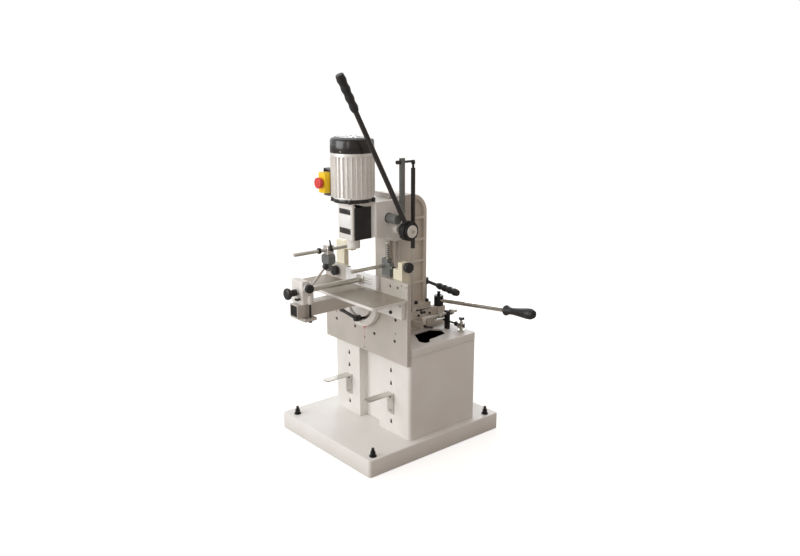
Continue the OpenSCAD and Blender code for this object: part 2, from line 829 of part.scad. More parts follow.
module x_lever() {
    color("silver") {
        translate([x_shaft_x, shaft_y, saddle_z - rack_t - slip + 1]) linear_extrude(pinion_t)
            rotate(-90) gear_outline(slide_teeth);
        bar_z([x_shaft_x, shaft_y, saddle_z - slip - 2], 16, 66);
        bar_z([x_shaft_x, shaft_y, slide_z + slip], 40, 44);
        bar_z([x_shaft_x, shaft_y, slide_z + 44], 14, 18);
        translate([x_shaft_x, shaft_y, slide_z + 24]) rotate([0, 83.7, 0]) {
            cylinder(d = 18, h = 390);
            translate([0, 0, 386]) rotate_extrude() polygon([[0, 0], [18, 0], [21, 5], [19, 12], [14, 24],
                [14, 44], [17, 76], [21, 112], [21, 132], [15, 146], [0, 148]]);
        }
    }
}

// ---------------------------------------------------------------- head

// Body on the dovetail, nose over the chisel, round boss behind the pinion
module head_casting() {
    slot_z0 = pivot[2] - lobe_r - 1;
    slot_h = head_z1 + 1 - slot_z0;
    slot_y1 = pivot[1] + lobe_r + 1;
    color("whitesmoke") difference() {
        union() {
            round_block([-head_w / 2, head_y0, head_z0], [head_w / 2, head_y1, head_z1], 8);
            round_block([-nose_w / 2, nose_y0, nose_z0], [nose_w / 2, head_y0 + 16, head_z1], 9);
            bar_x([head_w / 2 - 58, pivot[1], pivot[2]], 2 * lobe_r, 58);
            bar_x([head_w / 2 - 1, pivot[1], pivot[2]], 46, 24);
            bar_x([head_w / 2 - 1, stop_boss[0], stop_boss[1]], stop_boss_d, 58);
        }
        block([-col_w / 2 - slip, col_y0 - slip, slot_z0], [col_w / 2 + slip, slot_y1, slot_z0 + slot_h]);
        translate([0, col_y0, slot_z0]) linear_extrude(slot_h)
            polygon([[-way_root / 2 - 0.4, 1], [-way_w / 2 - 0.4, -way_t - slip],
                [way_w / 2 + gib_t + 0.4, -way_t - slip], [way_root / 2 + gib_t + 0.4, 1]]);
        block([-nose_w / 2 + nose_t, nose_open[0], nose_open[2]],
            [nose_w / 2 - nose_t, nose_open[1], nose_open[3]]);
        block([0, nose_open[0], nose_open[2]], [nose_w / 2 + 1, head_y0 - 4, nose_open[3] - 4]);
        bar_z([0, chisel_y, nose_open[3] - 1], 40, 60);
        bar_z([0, chisel_y, nose_z0 - 1], 32 + 2 * fit, nose_floor + 2);
        block([col_w / 2, head_rack_y - 3.2, slot_z0], [rack_x1 + slip, slot_y1, slot_z0 + slot_h]);
        bar_x([col_w / 2, pivot[1], pivot[2]], 2 * head_pitch_r + 7, rack_x1 - rack_x0 + 2);
        bar_x([col_w / 2, pivot[1], pivot[2]], 20 + 2 * fit, 80);
    }
}

// Thin strip that takes up the play of the dovetail
module gib() {
    color("silver") translate([0, col_y0, head_z0 + 2]) linear_extrude(head_h - 4)
        polygon([[way_root / 2 + slip, -slip], [way_w / 2 + slip, -way_t],
            [way_w / 2 + gib_t, -way_t], [way_root / 2 + gib_t, -slip]]);
}

module gas_bar() {
    color("gray") difference() {
        block([head_w / 2, bar_front, head_z1 - 58], [head_w / 2 + 14, bar_back, gas_pin_z + 16]);
        bar_y([gas[0], bar_front - 6, gas_pin_z], gas_pin_d + 2 * fit, 40);
    }
}

module gas_cylinder() {
    color("black") {
        difference() {
            bar_z([gas[0], gas[1], gas_body_z], gas_body_d, gas_body_h);
            bar_z([gas[0], gas[1], gas_body_z - 10], 8 + 2 * fit, gas_body_h);
        }
        bar_z([gas[0], gas[1], gas_body_z + gas_body_h - 1], 10, 22);
        bar_y([gas[0], bar_front - 16, gas_pin_z], gas_pin_d, gas[1] + 6 - bar_front + 16);
        bar_y([gas[0], bar_front - 18, gas_pin_z], 16, 16);
        translate([gas[0], gas[1], gas_pin_z - 6]) sphere(d = gas_body_d);
    }
}

module chisel_bushing() {
    color("silver") difference() {
        union() {
            bar_z([0, chisel_y, nose_z0 - bushing_h], bushing_d, bushing_h);
            bar_z([0, chisel_y, nose_z0 - 1], 32, nose_floor + 1);
        }
        bar_z([0, chisel_y, nose_z0 - bushing_h - 1], bushing_bore_d, bushing_h + 40);
    }
}

module chuck_door() {
    x = nose_w / 2 + slip;
    color("black") {
        block([x, nose_open[0] - 3, nose_open[2] - 5], [x + 3, head_y0 - 1.3, nose_open[3] + 4]);
        bar_z([x + 3, nose_open[0] - 2, nose_open[2] + 10], 5, 100);
    }
}

module motor_body() {
    fins = 28;
    z = head_z1;
    color("silver") difference() {
        union() {
            bar_z([0, chisel_y, z], motor_d - 20, 18);
            bar_z([0, chisel_y, z + 17], motor_d - 16, motor_h);
            bar_z([0, chisel_y, z + 5 + motor_h], motor_d - 1, 12);
            for (i = [0 : fins - 1]) translate([0, chisel_y, z + 24]) rotate(360 * i / fins)
                translate([motor_d / 2 - 12, -1.5, 0]) cube([12, 3, motor_h - 15]);
        }
        bar_z([0, chisel_y, z - 1], 20 + 2 * fit, 300);
    }
}

cover_z = head_z1 + 18 + motor_h - 1;
module fan_cover() {
    color("black") difference() {
        translate([0, chisel_y, cover_z]) rotate_extrude($fn = 96)
            polygon([[0, 60], [0, 57], [66, 57], [motor_d / 2 - 3, 46], [motor_d / 2 - 3, 0],
                [motor_d / 2, 0], [motor_d / 2, 46], [motor_d / 2 - 4, 54], [68, 60]]);
        for (i = [0 : 11]) translate([0, chisel_y, cover_z + 50]) rotate(30 * i)
            translate([18, -2.5, 0]) cube([38, 5, 20]);
    }
}

// Switch on the left front of the motor: a base plate and a lid with the stop button
switch_x0 = -91;
switch_y = -266;
switch_z = 1103;
module switch_box() {
    color("gold") difference() {
        union() {
            difference() {
                block([switch_x0 - 3, switch_y - 2, switch_z - 54], [switch_x0 + 47, switch_y + 55, switch_z + 54]);
                bar_z([0, chisel_y, switch_z - 60], motor_d + 1, 120);
            }
            round_block([switch_x0, switch_y - 30, switch_z - 40],
                [switch_x0 + 44, switch_y - 2 + eps, switch_z + 40], 5);
        }
        bar_y([switch_x0 + 22, switch_y - 31, switch_z], 24 + 2 * fit, 13);
    }
}

module stop_button() {
    color("red") translate([switch_x0 + 22, switch_y - 38, switch_z]) rotate([90, 0, 0]) {
        cylinder(d = 43, h = 12);
        translate([0, 0, -13]) cylinder(d = 24, h = 14);
    }
}

module spindle() {
    color("silver") {
        bar_z([0, chisel_y, nose_open[3] - 42], 36, 36);
        bar_z([0, chisel_y, nose_open[3] - 7], 20, cover_z - nose_open[3] + 40);
        translate([0, chisel_y, cover_z + 8]) {
            cylinder(d = 40, h = 24);
            for (i = [0 : 7]) rotate(45 * i) translate([18, -1.5, 0]) cube([48, 3, 22]);
        }
    }
}

module pinion_shaft() {
    color("dimgray") {
        translate([rack_x0 + 2, pivot[1], pivot[2]]) rotate([90, 0, 90]) linear_extrude(13.5)
            gear_outline(head_teeth);
        bar_x([rack_x1 - 1, pivot[1], pivot[2]], 20, hub_x0 + 12 - rack_x1);
    }
}

module lever_hub() {
    color("black") difference() {
        union() {
            bar_x([hub_x0 + 8, pivot[1], pivot[2]], 2 * hub_r, 28);
            bar_x([hub_x0, pivot[1], pivot[2]], 2 * hub_r - 10, 44);
            for (i = [0 : 23]) translate([hub_x0 + 8, pivot[1], pivot[2]]) rotate([360 * i / 24, 0, 0])
                translate([0, -2, hub_r - 3]) cube([28, 4, 5]);
        }
        bar_x([hub_x0 - 1, pivot[1], pivot[2]], 20 + 2 * fit, 13);
        translate(pivot) rotate([lever_tilt, 0, 0]) translate([0, 0, hub_r - 18])
            cylinder(d = 14 + 2 * fit, h = 60);
    }
}

module lever_rod() {
    color("black") translate(pivot) rotate([lever_tilt, 0, 0]) {
        translate([0, 0, hub_r - 17]) cylinder(d = 14, h = 30);
        translate([0, 0, hub_r + 3]) cylinder(d = lever_d, h = lever_len - 150 - hub_r);
    }
}

module lever_grip() {
    color("black") translate(pivot) rotate([lever_tilt, 0, 0]) translate([0, 0, lever_len - 147 + eps])
        finger_grip(145, 34);
}

plinth();
anchor_bolts();
cabinet();
cabinet_top();
fence_plate();
angle_brackets();
bed();
y_rack();
x_stop_post();
x_stop_rod();
y_stop_block();
holddown_post();
post_bracket();
tilt_stud();
tilt_table();
tilt_lever();
vice_beam();
vice_block();
vice_plate();
vice_rod();
vice_jaw();
vice_knob();
cam_lever();
left_support();
left_rod();
left_foot();
left_lock();
star_knob();
tee_block();
right_rod();
holddown_spring();
tee_lock();
right_support();
side_knob();
saddle();
x_rack();
y_stop_rod();
y_lever();
cross_slide();
column();
column_way();
head_rack();
column_bolts();
gas_rod();
x_lever();
head_casting();
gib();
gas_bar();
gas_cylinder();
chisel_bushing();
chuck_door();
motor_body();
fan_cover();
switch_box();
stop_button();
spindle();
pinion_shaft();
lever_hub();
lever_rod();
lever_grip();
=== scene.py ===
"""Looks of a floor-standing hollow chisel mortiser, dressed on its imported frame."""
import json
from math import cos, pi, radians, sin, tau

import bmesh
import bpy
from mathutils import Matrix, Vector


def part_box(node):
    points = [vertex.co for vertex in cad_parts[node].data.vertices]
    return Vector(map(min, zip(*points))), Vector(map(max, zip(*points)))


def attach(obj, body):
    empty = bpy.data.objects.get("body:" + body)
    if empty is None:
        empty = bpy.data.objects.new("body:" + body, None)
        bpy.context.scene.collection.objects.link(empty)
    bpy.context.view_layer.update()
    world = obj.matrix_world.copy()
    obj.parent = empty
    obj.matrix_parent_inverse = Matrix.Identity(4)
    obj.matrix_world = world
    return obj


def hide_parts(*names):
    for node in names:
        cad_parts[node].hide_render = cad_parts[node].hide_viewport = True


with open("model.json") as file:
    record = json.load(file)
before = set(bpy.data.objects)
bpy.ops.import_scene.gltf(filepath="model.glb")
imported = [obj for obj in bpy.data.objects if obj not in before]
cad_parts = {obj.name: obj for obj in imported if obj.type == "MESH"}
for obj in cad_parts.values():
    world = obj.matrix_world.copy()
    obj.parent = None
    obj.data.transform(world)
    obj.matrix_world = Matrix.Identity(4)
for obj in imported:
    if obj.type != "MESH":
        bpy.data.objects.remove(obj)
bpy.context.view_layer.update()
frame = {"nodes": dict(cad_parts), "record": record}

nodes = frame["nodes"]
record = frame["record"]
body_of = {node: body for body, members in record["behaviour"]["bodies"].items() for node in members}
slot_of = {row["node"]: row["material_slot"] for row in record["subparts"]}
MM = 0.001


# ---------------------------------------------------------------- camera, light and floor

LENS_MM = 36.9            # 820 px of focal length on a picture 800 px wide
SENSOR_MM = 36
CAMERA_AZIMUTH = 49.7394
CAMERA_ELEVATION = 14.6836
CAMERA_PLACE = (2.560, -2.121, 1.554)


def make_camera():
    camera = bpy.data.objects.new("camera", bpy.data.cameras.new("camera"))
    camera.data.lens = LENS_MM
    camera.data.sensor_width = SENSOR_MM
    camera.location = CAMERA_PLACE
    camera.rotation_euler = (radians(90 - CAMERA_ELEVATION), 0, radians(CAMERA_AZIMUTH))
    bpy.context.scene.collection.objects.link(camera)
    bpy.context.scene.camera = camera


def make_light(name, place, target, size, watts, colour="FFFFFF"):
    lamp = bpy.data.lights.new(name, "AREA")
    lamp.shape = "RECTANGLE"
    lamp.size, lamp.size_y = size
    lamp.energy = watts
    lamp.color = srgb(colour)[:3]
    light = bpy.data.objects.new(name, lamp)
    light.location = place
    aim = Vector(target) - Vector(place)
    light.rotation_euler = aim.to_track_quat("-Z", "Y").to_euler()
    bpy.context.scene.collection.objects.link(light)


def make_world():
    """White walls, lit more on the left of the machine than on its right."""
    world = bpy.data.worlds.new("studio")
    bpy.context.scene.world = world
    world.use_nodes = True
    tree = world.node_tree
    tree.nodes.clear()
    direction = add(tree, "TexCoord").outputs["Generated"]
    side = add(tree, "SeparateXYZ", Vector=direction).outputs["X"]
    share = between(tree, side, 0.0, 1.0, -0.6, 0.7)
    walls = add(tree, "Background", Color=mixed(tree, share, "E8E9EA", "AB9F97"), Strength=1.1)
    seen = add(tree, "Background", Color=srgb("FFFFFF"), Strength=1.0)
    camera_ray = add(tree, "LightPath").outputs["Is Camera Ray"]
    both = add(tree, "MixShader", Fac=camera_ray)
    tree.links.new(walls.outputs[0], both.inputs[1])
    tree.links.new(seen.outputs[0], both.inputs[2])
    add(tree, "OutputWorld", Surface=both.outputs[0])


def make_studio():
    """A large soft window in front and to the left, a strip beside it, and weak ones above and behind."""
    middle = (0, 0, 0.7)
    make_light("front_window", (-1.0, -3.8, 1.9), middle, (2.8, 2.4), 80, "FFFFFF")
    make_light("strip_window", (1.6, -2.9, 1.9), (0, -0.1, 1.2), (0.35, 1.8), 7, "FFFFFF")
    make_light("top_window", (-0.8, -0.2, 3.4), middle, (2.2, 2.2), 5, "FFFDF8")
    make_light("back_window", (-2.6, 2.8, 1.8), middle, (2.0, 2.0), 26, "FDFDFF")
    make_world()
    bpy.context.scene.view_settings.view_transform = "Standard"


FLOOR_SIZE = 20           # metres, well past the edge of the picture
FLOOR_GLOW = 0.72         # light that the camera alone sees, so that the floor meets the white behind it


def make_floor():
    """Pale floor that stays white in the picture and takes a faint shadow."""
    work = bmesh.new()
    bmesh.ops.create_grid(work, x_segments=1, y_segments=1, size=FLOOR_SIZE)
    mesh = bpy.data.meshes.new("floor")
    work.to_mesh(mesh)
    work.free()
    material, tree, place = new_material("pale_floor")
    glow = between(tree, add(tree, "LightPath").outputs["Is Camera Ray"], 0.0, FLOOR_GLOW, 0.0, 1.0)
    shader = add(tree, "BsdfPrincipled", Roughness=0.7, Emission_Color=srgb("FFFFFF"), Emission_Strength=glow,
                 Base_Color=mixed(tree, blotches(tree, place, 900), "B4AFA9", "AFAAA4"))
    add(tree, "OutputMaterial", Surface=shader.outputs[0])
    mesh.materials.append(material)
    floor = bpy.data.objects.new("floor", mesh)
    bpy.context.scene.collection.objects.link(floor)


# ---------------------------------------------------------------- materials

def srgb(code):
    """Linear colour of an sRGB hex value."""
    parts = [int(code[i:i + 2], 16) / 255 for i in (0, 2, 4)]
    return [c / 12.92 if c <= 0.04045 else ((c + 0.055) / 1.055) ** 2.4 for c in parts] + [1.0]


def add(tree, kind, settings=None, **sockets):
    """A shader node with its settings made and its sockets set or linked."""
    node = tree.nodes.new("ShaderNode" + kind)
    for name, value in (settings or {}).items():
        setattr(node, name, value)
    for name, value in sockets.items():
        socket = node.inputs[name.replace("_", " ")]
        if isinstance(value, bpy.types.NodeSocket):
            tree.links.new(value, socket)
        else:
            socket.default_value = value
    return node


def new_material(name):
    material = bpy.data.materials.new(name)
    material.use_nodes = True
    tree = material.node_tree
    tree.nodes.clear()
    return material, tree, add(tree, "TexCoord").outputs["Object"]


def blotches(tree, place, size_mm, detail=3.0):
    """Soft noise whose patches are about this many millimetres wide."""
    return add(tree, "TexNoise", Vector=place, Scale=1 / (size_mm * MM), Detail=detail).outputs["Fac"]


def between(tree, value, low, high, low_in=0.35, high_in=0.65):
    return add(tree, "MapRange", Value=value, From_Min=low_in, From_Max=high_in,
               To_Min=low, To_Max=high).outputs["Result"]


def mixed(tree, share, first, second):
    return add(tree, "MixRGB", Fac=share, Color1=srgb(first), Color2=srgb(second)).outputs["Color"]


def raised(tree, height, depth_mm, strength, round_mm):
    """Normal of a fine relief on edges that are rounded by this radius."""
    edge = add(tree, "Bevel", {"samples": 6}, Radius=round_mm * MM).outputs["Normal"]
    return add(tree, "Bump", Strength=strength, Distance=depth_mm * MM,
               Height=height, Normal=edge).outputs["Normal"]


def painted(name, colour, shade, peel_mm, gloss, coat=0.0, round_mm=1.2):
    """Enamel on steel or cast iron: even colour, a little orange peel, a soft sheen."""
    material, tree, place = new_material(name)
    patch = between(tree, blotches(tree, place, 160), 0.0, 1.0)
    peel = blotches(tree, place, peel_mm, 2.0)
    smear = blotches(tree, place, 28, 5.0)
    shader = add(tree, "BsdfPrincipled", Base_Color=mixed(tree, patch, colour, shade),
                 Roughness=between(tree, smear, gloss, gloss + 0.12), Coat_Weight=coat,
                 Coat_Roughness=0.18, Normal=raised(tree, peel, 0.15, 0.22, round_mm))
    add(tree, "OutputMaterial", Surface=shader.outputs[0])
    return material


def machined(name, colour, shade, lines, gloss, metal=1.0, relief=0.25, round_mm=0.6):
    """Bare or plated metal: fine lines left by the wheel or the lathe, along one axis."""
    material, tree, place = new_material(name)
    stretched = add(tree, "Mapping", Vector=place, Scale=lines).outputs["Vector"]
    scratch = blotches(tree, stretched, 1.1, 6.0)
    patch = between(tree, blotches(tree, place, 110, 4.0), 0.0, 1.0)
    shader = add(tree, "BsdfPrincipled", Base_Color=mixed(tree, patch, colour, shade),
                 Metallic=metal, Roughness=between(tree, scratch, gloss, gloss + 0.16),
                 Normal=raised(tree, scratch, 0.05, relief, round_mm))
    add(tree, "OutputMaterial", Surface=shader.outputs[0])
    return material


def moulded(name, colour, shade, grain_mm, gloss, relief=0.3, round_mm=0.8):
    """Injection-moulded plastic: solid colour with a fine spark-eroded grain."""
    material, tree, place = new_material(name)
    grain = blotches(tree, place, grain_mm, 3.0)
    patch = between(tree, blotches(tree, place, 35, 4.0), 0.0, 1.0)
    shader = add(tree, "BsdfPrincipled", Base_Color=mixed(tree, patch, colour, shade),
                 Roughness=between(tree, grain, gloss, gloss + 0.15),
                 Normal=raised(tree, grain, 0.12, relief, round_mm))
    add(tree, "OutputMaterial", Surface=shader.outputs[0])
    return material


ALONG_X, ALONG_Y, ALONG_Z = (0.03, 1, 1), (1, 0.03, 1), (1, 1, 0.03)

materials = {
    # Powder-coated sheet steel: warm white, satin, with a faint peel.
    "white_paint": painted("white_powder_coat", "E9E7E3", "E4E1DC", 2.2, 0.36),
    # Enamelled cast iron of the vice jaw: whiter and smoother.
    "jaw_white": painted("white_enamel", "F1F1F1", "EBEBEC", 3.0, 0.26, 0.3),
    # Cream enamel of the hold-down castings.
    "cream_paint": painted("cream_enamel", "E9E3CD", "DFD8BF", 2.6, 0.32),
    # Grey casting paint over sand-cast iron, coarser than the sheet steel.
    "grey_paint": painted("grey_casting_paint", "DED7CD", "D6CEC3", 4.5, 0.42),
    # Surface-ground steel: straight wheel lines, soft cloudy reflections.
    "ground_steel": machined("ground_steel", "D0C9C3", "C8C4BB", ALONG_X, 0.42, 0.5, 0.12),
    # Top of the table: the same steel, dulled and browned by use.
    "worn_table": machined("worn_ground_steel", "A2988A", "AAA297", ALONG_X, 0.46, 0.5, 0.12),
    # Black-oxide steel: nearly black, with an oily sheen.
    "dark_steel": machined("black_oxide_steel", "333334", "262627", ALONG_Y, 0.34, 0.6),
    # Plain machined steel blocks, greyed by oil.
    "oiled_steel": machined("oiled_machined_steel", "8A8D8B", "797C7B", ALONG_Z, 0.38, 0.6),
    # Bright zinc plate on turned steel.
    "zinc": machined("zinc_plate", "DAD8D2", "CCCAC2", ALONG_Y, 0.24, 0.85, 0.12),
    # Chromed tube, polished, with faint handling marks.
    "chrome": machined("chrome_plate", "EAE8E4", "DDDBD4", ALONG_X, 0.10, 1.0, 0.04),
    # Extruded aluminium: bright silver with die lines along the fins.
    "motor_aluminium": machined("extruded_aluminium", "FAF9F6", "F3F1EE", ALONG_Z, 0.26, 0.4, 0.12),
    # Black moulded plastic of knobs and grips.
    "black_plastic": moulded("black_moulded_plastic", "262627", "1E1E1F", 0.9, 0.34),
    # Black stoved enamel: gas spring, motor flange and fan cover.
    "black_enamel": painted("black_enamel", "262425", "1E1C1D", 3.0, 0.20, 0.4),
    # Glossy signal-yellow ABS of the switch lid.
    "yellow_plastic": moulded("yellow_moulded_plastic", "FFD60F", "F9CD0B", 1.4, 0.28, 0.15),
    # Dark grey moulded base of the switch.
    "switch_grey": moulded("grey_moulded_plastic", "5A5557", "4E4A4C", 1.2, 0.38, 0.2),
    # Glossy red ABS of the stop button.
    "red_plastic": moulded("red_moulded_plastic", "DE4A44", "D4413D", 1.4, 0.26, 0.15),
}

# Nodes whose finish is a variant of their slot's.
FINISH_OF = {"tilt_table": "white_paint", "left_foot": "oiled_steel", "tee_block": "oiled_steel",
             "gas_bar": "oiled_steel", "fan_cover": "black_enamel", "lever_rod": "black_enamel",
             "head_casting": "white_paint", "spindle": "dark_steel"}


# ---------------------------------------------------------------- shared mesh tools

FRONT, BACK, RIGHT, UP = (0, -1, 0), (0, 1, 0), (1, 0, 0), (0, 0, 1)
GENTLE_BELOW = 35.0       # degrees between faces that are shaded as one surface
SHARP_ABOVE = 30.0        # degrees between faces whose edge is rounded


def box_mm(node):
    """Lowest and highest corner of a solid, in millimetres."""
    return [Vector(corner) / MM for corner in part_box(node)]


def place_piece(name, work, body, slot, finish=None, flat=()):
    """Makes an object of a bmesh, smooth where its faces meet gently, and lets it ride."""
    for face in work.faces:
        face.smooth = face not in flat
    for edge in work.edges:
        edge.smooth = edge.calc_face_angle(pi) < radians(GENTLE_BELOW)
    mesh = bpy.data.meshes.new(name)
    work.to_mesh(mesh)
    work.free()
    mesh.materials.append(materials[finish or slot])
    piece = bpy.data.objects.new(name, mesh)
    bpy.context.scene.collection.objects.link(piece)
    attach(piece, body)
    return piece


def finish_piece(name, work, body, slot, finish=None):
    """Closes a new piece's seams and turns its faces outwards before it is placed."""
    bmesh.ops.remove_doubles(work, verts=work.verts, dist=1e-6)
    bmesh.ops.recalc_face_normals(work, faces=work.faces)
    return place_piece(name, work, body, slot, finish)


def is_plane(face, rims):
    """Whether a face is a flat side of its solid, and not a strip of a curved one."""
    return not any(0.01 < edge.calc_face_angle(0) < radians(GENTLE_BELOW)
                   and rims.isdisjoint(edge.link_faces) for edge in face.edges)


def dressed(node, round_mm=0.0):
    """A merged copy of a solid, its edges rounded where asked, standing for that solid."""
    work = bmesh.new()
    work.from_mesh(nodes[node].data)
    bmesh.ops.remove_doubles(work, verts=work.verts, dist=1e-5)
    bmesh.ops.dissolve_limit(work, angle_limit=radians(0.6), verts=work.verts, edges=work.edges)
    rims = set()
    if round_mm:
        edges = [e for e in work.edges if e.is_manifold and e.calc_face_angle(0) > radians(SHARP_ABOVE)]
        made = bmesh.ops.bevel(work, geom=edges, offset=round_mm * MM, affect="EDGES", segments=2,
                               profile=0.5, material=-1, clamp_overlap=False)
        rims.update(made["faces"])
    flat = {face for face in work.faces if face not in rims and is_plane(face, rims)}
    piece = place_piece(node + "_dressed", work, body_of[node], slot_of[node], FINISH_OF.get(node), flat)
    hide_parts(node)
    return piece


def refinish(piece, finish, chosen):
    """Gives a second finish to the faces that a test picks by their middle (mm) and normal."""
    piece.data.materials.append(materials[finish])
    index = len(piece.data.materials) - 1
    for face in piece.data.polygons:
        if chosen(face.center / MM, face.normal):
            face.material_index = index


def on_axis(place, axis):
    """Matrix that lays a piece made along +Z at a place, in millimetres, along an axis."""
    turn = Vector(axis).to_track_quat("Z", "Y").to_matrix().to_4x4()
    return Matrix.Translation(Vector(place) * MM) @ turn


def add_turned(work, profile_mm, matrix, steps=32):
    """Spins a profile of (radius, height) pairs in millimetres into a turned form."""
    before = set(work.verts)
    points = [work.verts.new((r * MM, 0, h * MM)) for r, h in profile_mm]
    edges = [work.edges.new(pair) for pair in zip(points, points[1:])]
    bmesh.ops.spin(work, geom=points + edges, cent=(0, 0, 0), axis=(0, 0, 1), dvec=(0, 0, 0),
                   angle=tau, steps=steps, use_merge=True, use_duplicate=False)
    bmesh.ops.transform(work, matrix=matrix, verts=[v for v in work.verts if v not in before])


def add_round(work, radius_mm, top_radius_mm, height_mm, matrix, sides=32, bevel_mm=0.6):
    """A short round of metal standing on a place, its rims bevelled."""
    made = bmesh.ops.create_cone(work, cap_ends=True, segments=sides, radius1=radius_mm * MM,
                                 radius2=top_radius_mm * MM, depth=height_mm * MM)
    lift = matrix @ Matrix.Translation((0, 0, height_mm * MM / 2))
    bmesh.ops.transform(work, matrix=lift, verts=made["verts"])
    ends = [f for f in {f for v in made["verts"] for f in v.link_faces} if len(f.verts) > 4]
    rims = list({e for f in ends for e in f.edges})
    bmesh.ops.bevel(work, geom=rims, offset=bevel_mm * MM, affect="EDGES", segments=2,
                    profile=0.5, material=-1)


HEAD_RADIUS, SOCKET_DEPTH = 0.75, 0.55      # shares of a cap screw's size
SOCKET_WALL, HEAD_BEVEL = 0.42, 0.12        # shares of its head's radius


def add_cap_screw(work, size_mm, matrix):
    """Socket cap screw: a bevelled head with a round socket sunk in it."""
    head = size_mm * HEAD_RADIUS
    made = bmesh.ops.create_cone(work, cap_ends=True, segments=30, radius1=head * MM,
                                 radius2=head * MM, depth=size_mm * MM)
    lift = matrix @ Matrix.Translation((0, 0, size_mm * MM / 2))
    bmesh.ops.transform(work, matrix=lift, verts=made["verts"])
    normal = (matrix.to_3x3() @ Vector((0, 0, 1))).normalized()
    faces = {f for v in made["verts"] for f in v.link_faces}
    top = max((f for f in faces if len(f.verts) > 4), key=lambda f: f.calc_center_median().dot(normal))
    rim = list(top.edges)
    bmesh.ops.inset_region(work, faces=[top], thickness=head * SOCKET_WALL * MM, depth=0)
    sunk = bmesh.ops.extrude_discrete_faces(work, faces=[top])["faces"]
    bmesh.ops.translate(work, verts=list({v for f in sunk for v in f.verts}),
                        vec=-normal * size_mm * SOCKET_DEPTH * MM)
    bmesh.ops.bevel(work, geom=rim, offset=head * HEAD_BEVEL * MM, affect="EDGES", segments=2,
                    profile=0.5, material=-1)


def add_slab(work, low_mm, high_mm, round_mm):
    """Rectangular plate between two corners, with rounded edges."""
    made = bmesh.ops.create_cube(work, size=1)
    low, high = Vector(low_mm) * MM, Vector(high_mm) * MM
    bmesh.ops.scale(work, vec=high - low, verts=made["verts"])
    bmesh.ops.translate(work, vec=(low + high) / 2, verts=made["verts"])
    edges = list({e for v in made["verts"] for e in v.link_edges})
    bmesh.ops.bevel(work, geom=edges, offset=round_mm * MM, affect="EDGES", segments=2,
                    profile=0.5, material=-1)


WING_HUB, WING_OUT, WING_RADIUS = 0.42, 0.62, 0.38      # shares of a hand screw's reach


def add_wings(work, count, reach_mm, height_mm, matrix):
    """Small hand screw: rounded wings round a hub."""
    hub = reach_mm * WING_HUB
    wing = reach_mm * WING_RADIUS
    out = Matrix.Translation((reach_mm * WING_OUT * MM, 0, 0))
    add_round(work, hub, hub, height_mm, matrix, 24, 0.8)
    for i in range(count):
        arm = matrix @ Matrix.Rotation(tau * i / count, 4, "Z") @ out
        add_round(work, wing, wing, height_mm, arm, 20, 1.2)


def screw_row(name, body, slot, size_mm, places, axis):
    """One piece of equal cap screws at several places, all along one axis."""
    work = bmesh.new()
    for place in places:
        add_cap_screw(work, size_mm, on_axis(place, axis))
    finish_piece(name, work, body, slot)


make_camera()
make_studio()
make_floor()

for name, node in nodes.items():
    node.data.materials.clear()
    node.data.materials.append(materials[FINISH_OF.get(name, slot_of[name])])


# ---------------------------------------------------------------- edges of the solids

# Edge radius in millimetres: folded sheet and castings are rounder than machined steel.
EDGE_RADIUS = {
    "plinth": 5.0, "cabinet": 1.5, "cabinet_top": 3.0, "fence_plate": 0.8, "tilt_table": 0.9,
    "vice_jaw": 3.0, "vice_block": 3.0, "head_casting": 2.5, "cross_slide": 1.5, "saddle": 1.5,
    "bed": 1.5, "column": 2.0, "left_support": 2.0, "right_support": 2.0, "left_foot": 1.2,
    "tee_block": 1.2, "vice_beam": 0.8, "vice_plate": 0.8, "gas_bar": 0.8, "switch_box": 2.0,
    "fan_cover": 1.5, "stop_button": 2.0, "angle_brackets": 0.6, "chuck_door": 0.8,
    "x_lever": 0.0, "cam_lever": 0.0, "left_rod": 0.0,
}
dressed_copy = {name: dressed(name, radius) for name, radius in EDGE_RADIUS.items()}


LID_DEPTH = 28                    # yellow lid, from the front of the switch
RECESS_NEAR, RECESS_FAR = 2, 5    # dark recess in the beam's end, from the beam's front
PLATE_TOP, PLATE_THICK = 20.5, 13     # bright part of the vice plate, up from its lowest point
ROD_RADIUS = 12
ROD_COLLAR_Y, ROD_COLLAR_REACH = -279.5, 6
FOOT_LOCK_DROP = 18               # how far the foot's bright clamp comes down from the rod


def refinish_two_tone_pieces():
    """Second finishes on solids that are two materials or are machined on one side."""
    # On the table's machined front edge the white paint is a painted highlight, standing for the front light
    # that the bare steel reflects; its web and disc are really painted.
    top = box_mm("tilt_table")[1].z
    refinish(dressed_copy["tilt_table"], "worn_table", lambda c, n: n.z > 0.9 and c.z > top - 1)
    lid_back = box_mm("switch_box")[0].y + LID_DEPTH
    refinish(dressed_copy["switch_box"], "switch_grey", lambda c, n: c.y > lid_back - 0.5)
    beam_front = box_mm("vice_beam")[0].y
    refinish(dressed_copy["vice_beam"], "dark_steel",
             lambda c, n: beam_front + RECESS_NEAR < c.y < beam_front + RECESS_FAR)
    plate_top = box_mm("vice_plate")[0].z + PLATE_TOP
    refinish(dressed_copy["vice_plate"], "dark_steel",
             lambda c, n: not plate_top - PLATE_THICK < c.z < plate_top)
    rod_z = box_mm("left_rod")[0].z + ROD_RADIUS
    refinish(dressed_copy["left_rod"], "dark_steel", lambda c, n: abs(c.y - ROD_COLLAR_Y) < ROD_COLLAR_REACH)
    refinish(dressed_copy["left_foot"], "zinc", lambda c, n: c.z > rod_z - FOOT_LOCK_DROP)


LEVER_GRIP_START = 471.0
LEVER_HUB_END = 112.0
CAM_HUB = 17                      # from the cam lever's lowest corner to the middle of its hub
CAM_STEM_START, CAM_STEM_END = 20, 94     # chromed stem, out from that middle
CAM_HUB_TOP = 12


